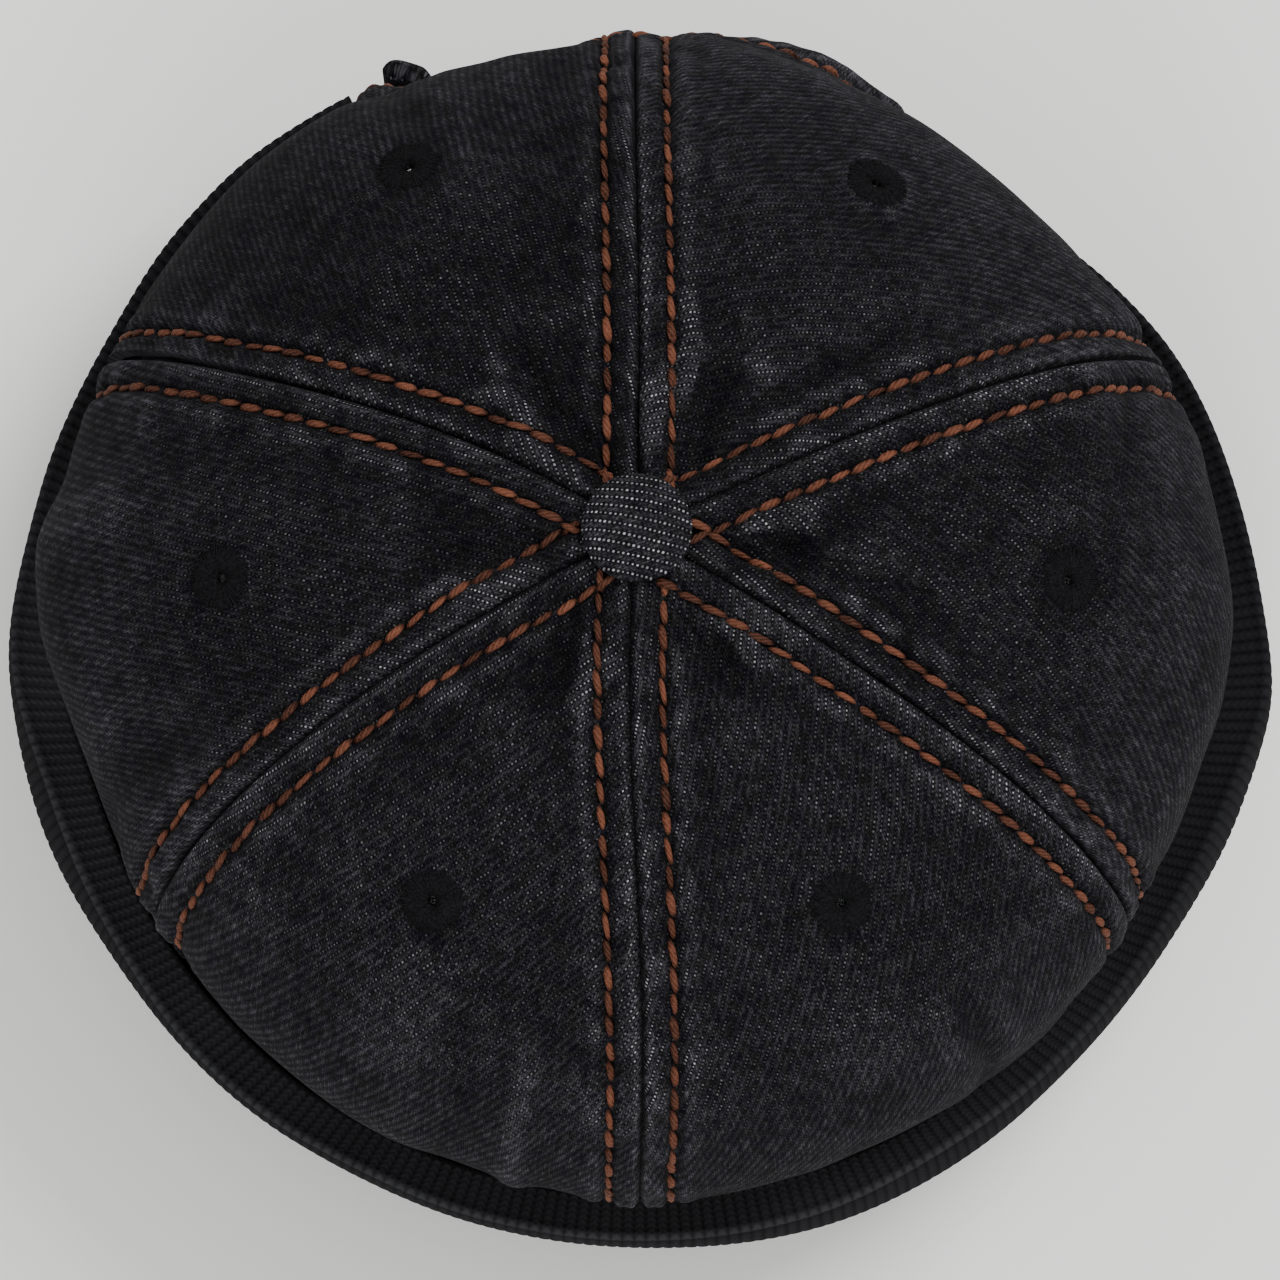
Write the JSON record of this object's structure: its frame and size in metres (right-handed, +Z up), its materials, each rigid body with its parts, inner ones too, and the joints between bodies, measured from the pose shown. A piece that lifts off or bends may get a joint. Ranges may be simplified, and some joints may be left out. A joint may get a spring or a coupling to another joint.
{
  "type": "docker beanie",
  "caption": "Brimless denim docker cap with a panelled crown, covered button, sewn eyelets, turned-up rib-knit cuff and a strap across the back arch.",
  "frame": {"origin": "on the surface the cap stands on, below the middle of its bounding box", "axes": "+Z up through the button, -Y towards the front, +Y towards the arch and strap at the back, +X towards the side panel on the right when the cap is seen from the front"},
  "size_m": [0.204, 0.1964, 0.121],
  "materials": {
    "washed_denim": "washed black denim twill, matt",
    "rib_knit": "fine rib knit, matt",
    "black_thread": "overcast cotton thread, matt",
    "rust_thread": "thick rust-brown topstitching thread",
    "slide_metal": "aged, darkened, satin"
  },
  "bodies": {
    "root": {"panel_side_right": "washed_denim", "panel_back_right": "washed_denim", "panel_back_left": "washed_denim", "panel_side_left": "washed_denim", "panel_front_left": "washed_denim", "panel_front_right": "washed_denim", "eyelet_side_right": "black_thread", "eyelet_back_right": "black_thread", "eyelet_back_left": "black_thread", "eyelet_side_left": "black_thread", "eyelet_front_left": "black_thread", "eyelet_front_right": "black_thread", "button": "washed_denim", "cuff": "rib_knit", "strap": "washed_denim", "strap_tab": "washed_denim", "strap_slide": "slide_metal"}
  },
  "joints": []
}
